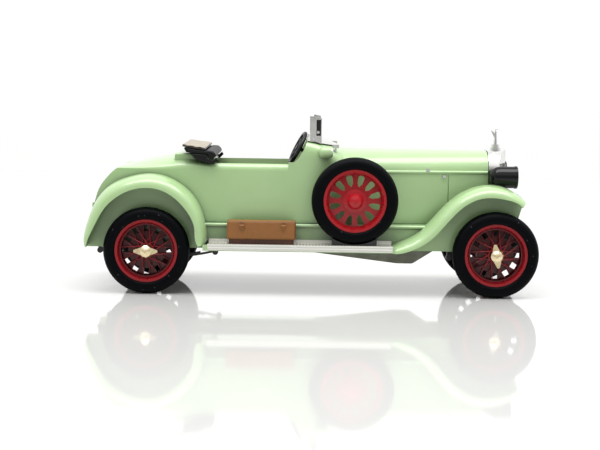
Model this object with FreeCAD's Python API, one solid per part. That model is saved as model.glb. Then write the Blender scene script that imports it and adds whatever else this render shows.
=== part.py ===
import FreeCAD, Part
import math
import os

# Diecast collector car, 1:43: an open two-seat roadster with wire wheels.
# Millimetres. +X is forward, +Y is the car's left, +Z is up. Z = 0 is the ground under the tyres, and the
# origin is under the middle of the car's length and width. "Right" pieces have negative Y.

V = FreeCAD.Vector
CENTRE, UP, ALONG, ACROSS = V(0, 0, 0), V(0, 0, 1), V(1, 0, 0), V(0, 1, 0)

# ---------------------------------------------------------------- driving dimensions
# wheels
TYRE_R = 10.9
TYRE_W = 4.4
RIM_R = 7.9
TRACK_HALF = 17.0
FRONT_AXLE_X = 46.4
REAR_AXLE_X = -41.4
AXLE_R = 0.8
AXLE_CLEAR = 0.07
SPOKE_R = 0.13
SPOKES = 12
HUB_R = 1.35
CAP_R = 1.8
CAP_OUT = 3.6
EAR_SPAN = 6.0

# body shell
BODY_HALF = 12.4
BODY_BOTTOM = 17.8
SHOULDER_Z = 31.0
DECK_TOP = 34.4
SCUTTLE_TOP = 39.6
BONNET_TOP = 36.3
WALL = 1.1
TAIL_X = -55.8
COCKPIT_BACK = -25.0
COCKPIT_FRONT = -5.0
COCKPIT_SIDE_Z = 33.2
SCUTTLE_X = -1.4
BONNET_X = 8.0
BONNET_FRONT = 45.2
BONNET_HALF_BACK = 11.4
BONNET_HALF_FRONT = 7.6

# wing castings and running boards
WING_OUT = 19.4
WING_IN = 12.6
WING_WALL = 0.8
BOARD_Z = 11.2
BOARD_T = 1.1
BOARD_BACK = -27.2
BOARD_FRONT = 21.0
APRON_Y = 13.4
DECK_Z = 16.8
DECK_T = 0.9
DECK_IN = 5.6
AXLE_NOTCH_Z = TYRE_R + AXLE_R + 1.2

# chassis
PLATE_T = 1.0
PLATE_HALF = 10.8
PLATE_BACK = -55.0
PLATE_FRONT = 50.5
RAIL_Y = 3.6
RAIL_W = 1.0
RAIL_BOTTOM = 12.6
SCREW_X = (-45.5, 30.0)
SCREW_R = 0.9
SCREW_HEAD_R = 1.7
BOSS_R = 2.3
PLINTH_X = (-31.0, 35.0)
PLINTH_HOLE_R = 1.0
PLINTH_BOSS_R = 2.2
SPRING_Y = 9.4
SPRING_W = 1.8
EXHAUST_Y = 6.7
EXHAUST_R = 0.75
FIT = 0.05

# front end
RADIATOR_DEPTH = 2.6
RADIATOR_NOSE = 2.7
RADIATOR_HALF = 7.5
RADIATOR_TOP = 36.6
RADIATOR_BOTTOM = 17.9
MASCOT_TOP = 42.8
LAMP_X = (45.3, 52.2)
LAMP_Y = 10.6
LAMP_Z = 30.1
LAMP_R = 2.75
BAR_Z = 26.4

# screen and cockpit
SCREEN_HALF = 10.6
SCREEN_BASE = 39.75
SCREEN_TOP = 45.6
SCREEN_T = 0.8
SCREEN_X = -0.6
STEER_X, STEER_Y, STEER_Z = -3.7, -5.6, 36.6
STEER_R = 4.1
STEER_RIM_R = 0.5
STEER_RAKE = 27.0
STEER_YAW = 6.0
FLOOR_Z = 19.4
SEAT_TOP = 25.5

# hood, luggage box, spare wheel
HOOD_HALF = 13.9
BOX_X = (-21.2, -3.9)
BOX_Y = (-18.4, -14.2)
BOX_TOP = 18.7
SPARE_X, SPARE_Z = 10.8, 24.1
MAT_T = 0.25

parts = {}


# ---------------------------------------------------------------- shared helpers
def block(x, y, z):
    """Box between two values on each axis."""
    low = V(min(x), min(y), min(z))
    return Part.makeBox(abs(x[1] - x[0]), abs(y[1] - y[0]), abs(z[1] - z[0]), low)


def rod(start, end, radius):
    """Round bar between two points."""
    return Part.makeCylinder(radius, (end - start).Length, start, end - start)


def join(shapes):
    """One solid from touching shapes."""
    result = shapes[0].multiFuse(shapes[1:]) if len(shapes) > 1 else shapes[0]
    return result.removeSplitter()


def curve(points, start=None, end=None):
    """Smooth edge through points, with optional end directions."""
    spline = Part.BSplineCurve()
    if start is None:
        spline.interpolate(points)
    else:
        spline.interpolate(points, InitialTangent=start, FinalTangent=end)
    return spline.toShape()


def side_plate(outline, y):
    """Flat piece with a side outline of (x, z) points, between two Y values."""
    points = [V(px, y[0], pz) for px, pz in outline]
    face = Part.Face(Part.makePolygon(points + points[:1]))
    return face.extrude(V(0, y[1] - y[0], 0))


def turned(profile, x, y, z):
    """Piece turned about a line along Y. The profile is (radius, offset) points."""
    points = [V(x + radius, y + offset, z) for radius, offset in profile]
    face = Part.Face(Part.makePolygon(points + points[:1]))
    return face.revolve(V(x, y, z), ACROSS, 360)


def softened(shape, radius, chosen):
    """Round the chosen edges, and keep the plain shape when the kernel can't."""
    edges = [edge for edge in shape.Edges if chosen(edge)]
    try:
        rounded = shape.makeFillet(radius, edges)
    except Part.OCCError:
        return shape
    return rounded if rounded.isValid() and rounded.Volume > 0 else shape


def all_edges(edge):
    return True


def to_left(shape):
    """Mirror a right-hand piece to the left."""
    return shape.mirror(CENTRE, ACROSS)


def add(name, shape):
    parts[name] = shape


def add_pair(name, right_shape):
    """Two nodes, one for each side."""
    add(name + "_right", right_shape)
    add(name + "_left", to_left(right_shape))


def add_group(name, right_shape):
    """One node that holds the piece of each side."""
    add(name, Part.makeCompound([right_shape, to_left(right_shape)]))


def largest(shape):
    """The main solid of a cut, without its slivers."""
    return max(shape.Solids, key=lambda solid: solid.Volume)


# ---------------------------------------------------------------- body shell
TAIL_LINE = [(TAIL_X, BODY_BOTTOM), (-55.2, 22.6), (-54.0, 26.1), (-51.7, 29.2), (-47.5, 32.2)]


def body_section(x, half, top, bottom, edge=0.52, brow=0.87):
    """Closed section: straight sides to the shoulder, then a top whose crown is set by two height shares."""
    low, high = SHOULDER_Z + edge * (top - SHOULDER_Z), SHOULDER_Z + brow * (top - SHOULDER_Z)
    crown = [V(x, -half, SHOULDER_Z), V(x, -0.9 * half, low), V(x, -0.6 * half, high), V(x, 0, top),
             V(x, 0.6 * half, high), V(x, 0.9 * half, low), V(x, half, SHOULDER_Z)]
    lower = Part.makePolygon([crown[-1], V(x, half, bottom), V(x, -half, bottom), crown[0]])
    return Part.Wire([curve(crown, UP, -UP)] + lower.Edges)


def tail_profile(inset, bottom, half):
    """Block whose back face follows the rounded back line of the tail."""
    points = [V(x + inset, -half, z - inset) for x, z in TAIL_LINE]
    points[0].z = bottom
    top, front = DECK_TOP + 3, COCKPIT_BACK + 1
    rest = Part.makePolygon([points[-1], V(points[-1].x, -half, top), V(front, -half, top),
                             V(front, -half, bottom), points[0]])
    face = Part.Face(Part.Wire([curve(points, UP, V(1, 0, 0.42))] + rest.Edges))
    return face.extrude(V(0, 2 * half, 0))


def body_form(inset):
    """Outer form of the body, made smaller all round by the inset and open at its foot."""
    bottom = BODY_BOTTOM - (1 if inset > 0 else 0)
    half, deck = BODY_HALF - inset, DECK_TOP - inset

    tail = Part.makeLoft([body_section(TAIL_X - 2, 0.86 * half, deck - 6.2, bottom),
                          body_section(-46, 0.96 * half, deck - 2.4, bottom),
                          body_section(-36, half, deck - 0.2, bottom),
                          body_section(COCKPIT_BACK, half, deck, bottom)], True)
    tail = tail.common(tail_profile(inset, bottom, half + 1))

    middle = Part.makeLoft([body_section(COCKPIT_BACK, half, deck, bottom),
                            body_section(COCKPIT_FRONT - 1, half, deck, bottom)], True, True)

    lead = COCKPIT_FRONT - 1
    front = Part.makeLoft([body_section(lead, half, SCUTTLE_TOP + 0.2 - inset, bottom, 0.84, 0.95),
                           body_section(SCUTTLE_X, half, SCUTTLE_TOP - inset, bottom, 0.84, 0.95),
                           body_section(4, 0.975 * half, SCUTTLE_TOP - 1.4 - inset, bottom, 0.74, 0.93),
                           body_section(BONNET_X, BONNET_HALF_BACK - inset, BONNET_TOP + 0.2 - inset, bottom)],
                          True)
    bonnet = Part.makeLoft([body_section(BONNET_X, BONNET_HALF_BACK - inset, BONNET_TOP + 0.2 - inset, bottom),
                            body_section(BONNET_FRONT, BONNET_HALF_FRONT - inset, BONNET_TOP - inset, bottom)],
                           True, True)
    if inset > 0:
        bonnet = bonnet.common(block((0, BONNET_FRONT - inset), (-20, 20), (0, 60)))
    right = join([tail, middle, front, bonnet]).common(block((-80, 80), (-30, 0), (0, 60)))
    return join([right, to_left(right)])


def cockpit_void():
    """Space cut from the top: open sides above the cockpit rail, swept up at the scuttle."""
    sweep = curve([V(COCKPIT_FRONT, -20, COCKPIT_SIDE_Z), V(SCUTTLE_X - 1.9, -20, COCKPIT_SIDE_Z + 1.2),
                   V(SCUTTLE_X - 0.7, -20, COCKPIT_SIDE_Z + 3.4), V(SCUTTLE_X, -20, SCUTTLE_TOP + 1)],
                  V(1, 0, 0.1), UP)
    rest = Part.makePolygon([V(SCUTTLE_X, -20, SCUTTLE_TOP + 1), V(SCUTTLE_X, -20, 50),
                             V(COCKPIT_BACK, -20, 50), V(COCKPIT_BACK, -20, COCKPIT_SIDE_Z),
                             V(COCKPIT_FRONT, -20, COCKPIT_SIDE_Z)])
    over = Part.Face(Part.Wire([sweep] + rest.Edges)).extrude(V(0, 40, 0))
    inside = BODY_HALF - WALL
    well = block((COCKPIT_BACK, SCUTTLE_X), (-inside, inside), (BODY_BOTTOM - 1, 50))
    return over.fuse(well)


def hinge_bead(side):
    """Half-round moulding where the bonnet side meets its top."""
    start = V(BONNET_X - 2, side * (BONNET_HALF_BACK + 0.05), SHOULDER_Z)
    end = V(BONNET_FRONT - 0.2, side * (BONNET_HALF_FRONT - 0.05), SHOULDER_Z)
    return rod(start, end, 0.45)


def coaming():
    """Raised rim behind the cockpit, under the folded hood."""
    rim = block((-35.0, COCKPIT_BACK), (-10.3, 10.3), (DECK_TOP - 2.0, 35.1))
    return softened(rim, 0.6, lambda edge: edge.BoundBox.ZMin > 34.9)


def boss(x):
    """Screw boss from the shell's crown down to the chassis plate."""
    post = Part.makeCylinder(BOSS_R, 30, V(x, 0, DECK_Z))
    return post.common(body_form(0.3).fuse(block((x - 5, x + 5), (-5, 5), (DECK_Z, BODY_BOTTOM + 1))))


def body_shell():
    form = body_form(0).cut(body_form(WALL))
    shell = form.cut(cockpit_void())
    shell = join([shell, coaming(), hinge_bead(1), hinge_bead(-1)] + [boss(x) for x in SCREW_X])
    for x in SCREW_X:
        shell = shell.cut(Part.makeCylinder(SCREW_R + FIT, 6.5, V(x, 0, DECK_Z - 0.5)))
    for side in (1, -1):
        groove = block((34.8, 35.05), (side * 5, side * 12), (BODY_BOTTOM, 30.3))
        shell = shell.cut(groove.cut(body_form(0.15)))
    return shell


# ---------------------------------------------------------------- wing castings
FRONT_CROWN = [(BOARD_FRONT - 0.5, BOARD_Z + 1.6), (25.2, 14.9), (29.8, 18.6), (34.8, 24.0),
               (39.8, 27.2), (44.7, 28.3), (49.8, 27.3), (53.8, 24.6)]
FRONT_LIP = [(BOARD_FRONT - 0.5, BOARD_Z), (26.6, 12.6), (31.6, 16.4), (36.4, 21.8),
             (40.9, 24.8), (44.8, 25.5), (49.2, 24.9), (52.6, 23.0)]
REAR_CROWN = [(-57.2, 12.0), (-57.1, 16.0), (-55.4, 21.1), (-51.9, 26.2), (-46.0, 29.2), (-39.3, 29.9),
              (-33.4, 27.7), (-29.3, 23.8), (-27.0, 18.5), (-26.6, 12.6)]
REAR_LIP = [(-56.3, 11.6), (-55.1, 15.4), (-53.1, 19.4), (-50.6, 22.8), (-45.6, 26.0), (-40.0, 26.7),
            (-35.6, 25.2), (-31.8, 21.8), (-29.3, 17.0), (-28.4, 12.2)]


def wing_blade(crown, lip):
    """Crowned strip: flat beside the body, rolled down to a lip at its outer edge."""
    wires = []
    for (cx, cz), (lx, lz) in zip(crown, lip):
        down = V(lx - cx, 0, lz - cz)
        depth = down.Length
        down.normalize()
        top = V(cx, 0, cz)

        def at(y, fall):
            return top + down * fall + V(0, -y, 0)

        middle, shoulder = 0.5 * (WING_IN + WING_OUT), 0.87 * WING_OUT + 0.13 * WING_IN
        outer = curve([at(WING_IN, 0), at(middle, 0.06 * depth), at(shoulder, 0.35 * depth),
                       at(WING_OUT, depth)], V(0, -1, 0), down)
        inner = curve([at(WING_OUT - WING_WALL, depth), at(shoulder - 0.75 * WING_WALL, 0.35 * depth + 0.5),
                       at(middle, 0.06 * depth + WING_WALL), at(WING_IN, WING_WALL)], -down, V(0, 1, 0))
        edge_a = Part.makeLine(at(WING_OUT, depth), at(WING_OUT - WING_WALL, depth))
        edge_b = Part.makeLine(at(WING_IN, WING_WALL), at(WING_IN, 0))
        wires.append(Part.Wire([outer, edge_a, inner, edge_b]))
    return Part.makeLoft(wires, True)


def valance(crown, foot):
    """Inner wall under a wing: the crown line above, straight edges below."""
    points = [V(x, -WING_IN, z - 0.1) for x, z in crown]
    ends = [V(x, -WING_IN, z) for x, z in foot]
    lower = Part.makePolygon([points[-1]] + ends + [points[0]])
    face = Part.Face(Part.Wire([curve(points)] + lower.Edges))
    return face.extrude(V(0, -WING_WALL, 0))


def wing_casting():
    front = wing_blade(FRONT_CROWN, FRONT_LIP)
    rear = wing_blade(REAR_CROWN, REAR_LIP)
    front_wall = valance(FRONT_CROWN, [(51.5, DECK_Z), (38.5, DECK_Z), (36.2, BOARD_Z), (20.0, BOARD_Z)])
    notch = REAR_AXLE_X
    rear_wall = valance(REAR_CROWN, [(-28.0, BOARD_Z), (notch + 3.4, BOARD_Z), (notch + 2.2, AXLE_NOTCH_Z),
                                     (notch - 2.2, AXLE_NOTCH_Z), (notch - 3.4, BOARD_Z), (-56.8, BOARD_Z)])
    board = block((BOARD_BACK, BOARD_FRONT), (-WING_OUT, -WING_IN), (BOARD_Z, BOARD_Z + BOARD_T))
    rim = block((BOARD_BACK, BOARD_FRONT), (-WING_OUT, -WING_OUT + 0.6), (BOARD_Z, BOARD_Z + 1.5))
    apron = block((BOARD_BACK - 1.5, 33.0), (-APRON_Y, -WING_IN), (BOARD_Z, DECK_Z + DECK_T))
    ledge = rod(V(BOARD_BACK - 0.8, -APRON_Y, DECK_Z + 0.4), V(32.0, -APRON_Y, DECK_Z + 0.4), 0.5)
    deck = block((PLATE_BACK, PLATE_FRONT), (-APRON_Y + 0.2, -DECK_IN), (DECK_Z, DECK_Z + DECK_T))
    wing = join([front, rear, front_wall, rear_wall, board, rim, apron, ledge, deck])
    keep_clear = block((-60, 60), (-WING_IN + 0.05, 0), (DECK_Z + DECK_T, 60))
    return wing.cut(keep_clear)


# ---------------------------------------------------------------- chassis
def chassis_plate():
    """Flat plate with two rails, axle saddles and bosses for a display plinth."""
    plate = block((PLATE_BACK, PLATE_FRONT), (-PLATE_HALF, PLATE_HALF), (DECK_Z - PLATE_T, DECK_Z))
    solids = [plate]
    for side in (1, -1):
        y = (side * RAIL_Y, side * (RAIL_Y + RAIL_W))
        solids.append(block((PLATE_BACK, PLATE_FRONT), y, (RAIL_BOTTOM, DECK_Z - PLATE_T)))
        for x in (REAR_AXLE_X, FRONT_AXLE_X):
            foot = block((x - 2.0, x + 2.0), y, (TYRE_R - 1.8, DECK_Z - PLATE_T))
            solids.append(foot)
    for x in PLINTH_X:
        solids.append(Part.makeCylinder(PLINTH_BOSS_R, DECK_Z - RAIL_BOTTOM, V(x, 0, RAIL_BOTTOM)))
    plate = join(solids)
    for x in (REAR_AXLE_X, FRONT_AXLE_X):
        plate = plate.cut(rod(V(x, -9, TYRE_R), V(x, 9, TYRE_R), AXLE_R + AXLE_CLEAR))
    for x in PLINTH_X:
        plate = plate.cut(Part.makeCylinder(PLINTH_HOLE_R, 12, V(x, 0, RAIL_BOTTOM - 1)))
    for x in SCREW_X:
        plate = plate.cut(Part.makeCylinder(SCREW_R + 0.15, 4, V(x, 0, DECK_Z - 2)))
    return plate


def screw(x):
    """Pan-head screw up through the plate into a boss, with a cross recess."""
    seat = DECK_Z - PLATE_T
    head = Part.makeCylinder(SCREW_HEAD_R, 0.9, V(x, 0, seat - 0.9))
    head = softened(head, 0.4, lambda edge: abs(edge.BoundBox.ZMax - seat + 0.9) < 1e-6)
    shank = Part.makeCylinder(SCREW_R, 6.0, V(x, 0, seat))
    recess = block((x - 1.1, x + 1.1), (-0.2, 0.2), (seat - 1, seat - 0.4))
    recess = recess.fuse(block((x - 0.2, x + 0.2), (-1.1, 1.1), (seat - 1, seat - 0.4)))
    return join([head, shank]).cut(recess)


def leaf_spring(x_back, z_back, x_mid, z_mid, x_front, z_front):
    """Three curved leaves across the axle, with hangers up to the plate."""
    y = (-SPRING_Y - SPRING_W / 2, -SPRING_Y + SPRING_W / 2)
    main = Part.Arc(V(x_back, y[0], z_back), V(x_mid, y[0], z_mid), V(x_front, y[0], z_front)).toShape()
    solids = []
    for count in range(3):
        lift = V(0, 0, 0.42 * count)
        low, high = main.copy(), main.copy()
        low.translate(lift)
        high.translate(lift + V(0, 0, 0.42))
        ends = [Part.makeLine(low.valueAt(low.LastParameter), high.valueAt(high.LastParameter)),
                Part.makeLine(low.valueAt(low.FirstParameter), high.valueAt(high.FirstParameter))]
        leaf = Part.Face(Part.Wire(Part.__sortEdges__([low, high] + ends))).extrude(V(0, SPRING_W, 0))
        reach = 0.26 * count * (x_front - x_back) / 2
        solids.append(leaf.common(block((x_back + reach, x_front - reach), (-20, 20), (0, 30))))
    for x, z in ((x_back, z_back), (x_front, z_front)):
        solids.append(rod(V(x, y[0], z), V(x, y[1], z), 0.75))
        solids.append(block((x - 0.5, x + 0.5), (y[0] + 0.3, y[1] - 0.3), (z, DECK_Z - PLATE_T)))
    return join(solids)


def undertray():
    """Ribbed engine pan under the rails."""
    corners = [(1.0, RAIL_BOTTOM), (1.4, 9.4), (22.4, 6.9), (26.4, 6.9), (31.9, 10.4), (32.4, RAIL_BOTTOM)]
    pan = side_plate(corners, (-5.2, 5.2))
    return softened(pan, 1.4, lambda edge: edge.BoundBox.ZMax < 9 and edge.BoundBox.XLength < 1)


def exhaust():
    """Pipe from the engine to the tail with a silencer, on three hangers."""
    z, y = 13.9, EXHAUST_Y
    solids = [rod(V(24, y, z), V(-55.5, y, z), EXHAUST_R), rod(V(-22, y, z), V(-5, y, z), 1.6)]
    for x in (18, 0, -48):
        solids.append(block((x - 0.5, x + 0.5), (y - 0.5, y + 0.5), (z, DECK_Z - PLATE_T)))
    pipe = join(solids)
    return pipe.cut(rod(V(-52, y, z), V(-56, y, z), EXHAUST_R - 0.25))


# ---------------------------------------------------------------- wheels
def tyre(x, z, y):
    """Slick tyre with a round shoulder, turned about the wheel line."""
    half = TYRE_W / 2
    points = [V(x + RIM_R, y + 0.78 * half, z), V(x + RIM_R + 1.2, y + 0.99 * half, z),
              V(x + TYRE_R - 0.7, y + 0.74 * half, z), V(x + TYRE_R, y, z),
              V(x + TYRE_R - 0.7, y - 0.74 * half, z), V(x + RIM_R + 1.2, y - 0.99 * half, z),
              V(x + RIM_R, y - 0.78 * half, z)]
    seat = Part.makeLine(points[-1], points[0])
    face = Part.Face(Part.Wire([curve(points, V(0.5, 0.3, 0), V(-0.5, 0.3, 0)), seat]))
    return face.revolve(V(x, y, z), ACROSS, 360)


def rim(x, z, y, windows, inner, outer, width):
    """Channel rim with a pressed back layer, which has a ring of windows."""
    ring = turned([(6.75, 1.75), (RIM_R, 1.75), (RIM_R, -1.75), (7.25, -1.75), (7.1, -1.1),
                   (6.75, -0.6)], x, y, z)
    disc = turned([(HUB_R, 1.5), (7.0, 1.5), (7.0, 1.0), (HUB_R, 0.6)], x, y, z)
    wheel = join([ring, disc])
    slots = []
    for count in range(windows):
        slot = block((x + inner, x + outer), (y - 3, y + 3), (z - width / 2, z + width / 2))
        slot.rotate(V(x, y, z), ACROSS, 360 * count / windows)
        slots.append(slot)
    return wheel.cut(slots[0].multiFuse(slots[1:]))


def spokes(x, z, y):
    """Two layers of laced wires from a hub barrel to a thin ring inside the rim."""
    solids = [turned([(AXLE_R, 0.5), (HUB_R, 0.5), (HUB_R, -1.6), (AXLE_R, -1.6)], x, y, z),
              turned([(HUB_R - 0.3, -1.0), (2.0, -1.05), (2.0, -1.45), (HUB_R - 0.3, -1.5)], x, y, z),
              turned([(6.45, 0.3), (6.75, 0.3), (6.75, -0.55), (6.45, -0.55)], x, y, z)]
    for lean in (1, -1):
        for count in range(SPOKES):
            middle = 2 * math.pi * (count + 0.5) / SPOKES
            start, end = middle - lean * 0.42, middle + lean * 0.16
            side = -0.16 * lean
            inner_end = V(x + 1.75 * math.cos(start), y - 1.2 + side, z + 1.75 * math.sin(start))
            outer_end = V(x + 6.6 * math.cos(end), y - 0.15 + side, z + 6.6 * math.sin(end))
            solids.append(rod(inner_end, outer_end, SPOKE_R))
    return join(solids)


def hub_cap(x, z, y, turn):
    """Knock-off nut: domed centre and two flat ears."""
    cap = turned([(0, -1.6), (CAP_R, -1.6), (CAP_R, -2.2), (0.82 * CAP_R, -2.9), (0.45 * CAP_R, -3.4),
                  (0.25 * CAP_R, -CAP_OUT), (0, -CAP_OUT)], x, y, z)
    tip = EAR_SPAN / 2
    ear = side_plate([(x - tip, z - 0.3), (x - 1.2, z - 0.95), (x + 1.2, z - 0.95), (x + tip, z - 0.3),
                      (x + tip, z + 0.3), (x + 1.2, z + 0.95), (x - 1.2, z + 0.95), (x - tip, z + 0.3)],
                     (y - 3.0, y - 2.3))
    ear.rotate(V(x, y, z), ACROSS, turn)
    return join([cap, ear])


def wheelset(name, x, turn):
    y, z = -TRACK_HALF, TYRE_R
    reach = TRACK_HALF + 1.55
    add(name + "_axle", rod(V(x, -reach, z), V(x, reach, z), AXLE_R))
    pieces = {"tyre": tyre(x, z, y), "rim": rim(x, z, y, 12, 4.7, 6.15, 1.45),
              "spokes": spokes(x, z, y), "hub_cap": hub_cap(x, z, y, turn)}
    for kind, shape in pieces.items():
        if kind == "hub_cap":
            add_group(name + "_hub_caps", shape)
        else:
            add_pair(name + "_" + kind, shape)


def spare_wheel():
    """Spare with a plain slotted rim on a stud from the body side, standing in a cradle."""
    x, z, y = SPARE_X, SPARE_Z, -TRACK_HALF
    add("spare_tyre", tyre(x, z, y))
    face = turned([(1.2, 0.5), (6.9, 0.5), (6.9, 0.0), (3.2, -0.5), (1.2, -0.6)], x, y, z)
    ring = turned([(6.6, 1.75), (RIM_R, 1.75), (RIM_R, -1.75), (7.2, -1.75), (7.0, -0.9),
                   (6.6, -0.2)], x, y, z)
    wheel = join([ring, face])
    slots = []
    for count in range(12):
        slot = side_plate([(x + 3.5, z), (x + 4.4, z + 0.62), (x + 6.0, z + 0.8), (x + 6.45, z + 0.5),
                           (x + 6.45, z - 0.5), (x + 6.0, z - 0.8), (x + 4.4, z - 0.62)], (y - 3, y + 3))
        slot.rotate(V(x, y, z), ACROSS, 30 * count + 15)
        slots.append(slot)
    add("spare_rim", wheel.cut(slots[0].multiFuse(slots[1:])))
    add("spare_hub_nut", turned([(0, -0.6), (3.0, -0.6), (3.0, -1.0), (2.0, -1.25), (2.0, -1.9), (1.5, -2.6),
                                 (0.6, -3.0), (0, -3.0)], x, y, z))
    add("spare_stud", join([rod(V(x, -11.0, z), V(x, y - 0.55, z), 1.2),
                            rod(V(x, -12.0, z), V(x, -14.4, z), 2.4)]).cut(body_form(-FIT)))
    floor = BOARD_Z + BOARD_T + MAT_T
    cradle = block((x - 5.6, x + 5.6), (y - 1.5, y + 2.2), (floor, floor + 2.9))
    cradle = cradle.cut(rod(V(x, -20, z), V(x, -10, z), TYRE_R + 0.02))
    add("spare_cradle", cradle)


# ---------------------------------------------------------------- front end
def radiator_plan(depth_back, nose, half):
    """Pointed plan of the radiator, from its back face to its nose."""
    x = BONNET_FRONT + depth_back
    return [V(x, -half, 0), V(x, half, 0), V(BONNET_FRONT + RADIATOR_DEPTH, half, 0),
            V(BONNET_FRONT + RADIATOR_DEPTH + nose, 0, 0), V(BONNET_FRONT + RADIATOR_DEPTH, -half, 0)]


def prism(plan, z):
    """Upright piece on a plan outline."""
    points = [point + V(0, 0, z[0]) for point in plan]
    return Part.Face(Part.makePolygon(points + points[:1])).extrude(V(0, 0, z[1] - z[0]))


def radiator():
    outer = prism(radiator_plan(0.15, RADIATOR_NOSE, RADIATOR_HALF), (RADIATOR_BOTTOM, RADIATOR_TOP))
    arch = body_section(40, RADIATOR_HALF, RADIATOR_TOP, 10)
    outer = outer.common(Part.Face(arch).extrude(V(20, 0, 0)))
    window_half, window_top = RADIATOR_HALF - 1.0, RADIATOR_TOP - 3.4
    inner = prism(radiator_plan(-1, RADIATOR_NOSE, window_half), (RADIATOR_BOTTOM + 1.0, window_top))
    shift = inner.copy()
    shift.translate(V(2, 0, 0))
    shell = outer.cut(inner.fuse(shift))
    core = prism(radiator_plan(0.3, RADIATOR_NOSE - 0.5, window_half - FIT),
                 (RADIATOR_BOTTOM + 1.05, window_top - FIT))
    core = core.common(outer)
    strip = block((BONNET_FRONT + 3.9, BONNET_FRONT + 6), (-0.25, 0.25),
                  (RADIATOR_BOTTOM + 0.5, window_top + 0.5))
    shell = shell.fuse(strip.common(outer).cut(core)).removeSplitter()
    add("radiator_shell", shell)
    add("radiator_core", core)
    # filler cap and generic figure, one plated moulding
    cap_x = BONNET_FRONT + RADIATOR_DEPTH
    base = RADIATOR_TOP - 0.15
    top = base + 1.5
    cap = [Part.makeCylinder(1.35, 0.7, V(cap_x, 0, base)), Part.makeCylinder(1.0, 1.5, V(cap_x, 0, base))]
    body = Part.makeCone(0.5, 0.24, MASCOT_TOP - top - 1.2, V(cap_x, 0, top))
    head = Part.makeSphere(0.42, V(cap_x + 0.2, 0, MASCOT_TOP - 0.9))
    wing = side_plate([(cap_x + 0.2, top + 2.6), (cap_x - 1.3, top + 3.7), (cap_x - 0.2, top + 1.4)],
                      (-0.22, 0.22))
    add("radiator_cap_figure", join(cap + [body, head, wing]).cut(outer))


def headlamps():
    y, z = -LAMP_Y, LAMP_Z
    back, front = LAMP_X
    profile = [V(back, y, z), V(back + 0.25, y, z + 1.6), V(back + 1.1, y, z + 2.45),
               V(back + 2.4, y, z + LAMP_R)]
    dome = curve(profile, UP, V(1, 0, 0.1))
    rest = Part.makePolygon([profile[-1], V(front - 0.7, y, z + LAMP_R), V(front - 0.7, y, z), profile[0]])
    bucket = Part.Face(Part.Wire([dome] + rest.Edges)).revolve(V(back, y, z), ALONG, 360)
    cavity = rod(V(front - 2.6, y, z), V(front, y, z), LAMP_R - 0.45)
    stem = rod(V(front - 3.4, y, BAR_Z + 0.55), V(front - 3.4, y, z - LAMP_R + 0.4), 0.55)
    add_group("headlamp_buckets", join([bucket.cut(cavity), stem.cut(cavity)]))
    bezel = rod(V(front - 0.7, y, z), V(front, y, z), LAMP_R + 0.12)
    bezel = softened(bezel, 0.2, lambda edge: abs(edge.BoundBox.XMin - front) < 1e-6)
    add_group("headlamp_rims", bezel.cut(rod(V(front - 2, y, z), V(front + 1, y, z), LAMP_R - 0.5)))
    glass = rod(V(front - 1.0, y, z), V(front - 0.1, y, z), LAMP_R - 0.52)
    glass = softened(glass, 0.35, lambda edge: abs(edge.BoundBox.XMin - front + 0.1) < 1e-6)
    add_group("headlamp_lenses", glass)
    bar_x = front - 3.4
    arm = rod(V(bar_x, -LAMP_Y - 0.9, BAR_Z), V(bar_x, -RADIATOR_HALF - 0.15, BAR_Z), 0.55)
    leg = rod(V(bar_x, -9.0, BAR_Z), V(bar_x, -9.0, DECK_Z + DECK_T), 0.5)
    add_group("headlamp_brackets", join([arm, leg]))


def side_lamps():
    """Small scuttle lamps in body colour with a bright front."""
    y, z = -BODY_HALF - 0.9, 35.9
    drum = rod(V(1.7, y, z), V(4.8, y, z), 1.45)
    drum = softened(drum, 1.1, lambda edge: edge.BoundBox.XMax < 1.8)
    foot = block((2.4, 4.0), (y, -9.5), (z - 1.2, z + 0.4))
    lamp = drum.fuse(foot).removeSplitter().cut(body_form(-FIT))
    add_group("side_lamps", largest(lamp))
    front = rod(V(4.8, y, z), V(5.2, y, z), 1.15)
    add_group("side_lamp_fronts", softened(front, 0.3, lambda edge: edge.BoundBox.XMin > 5.1))


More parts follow.
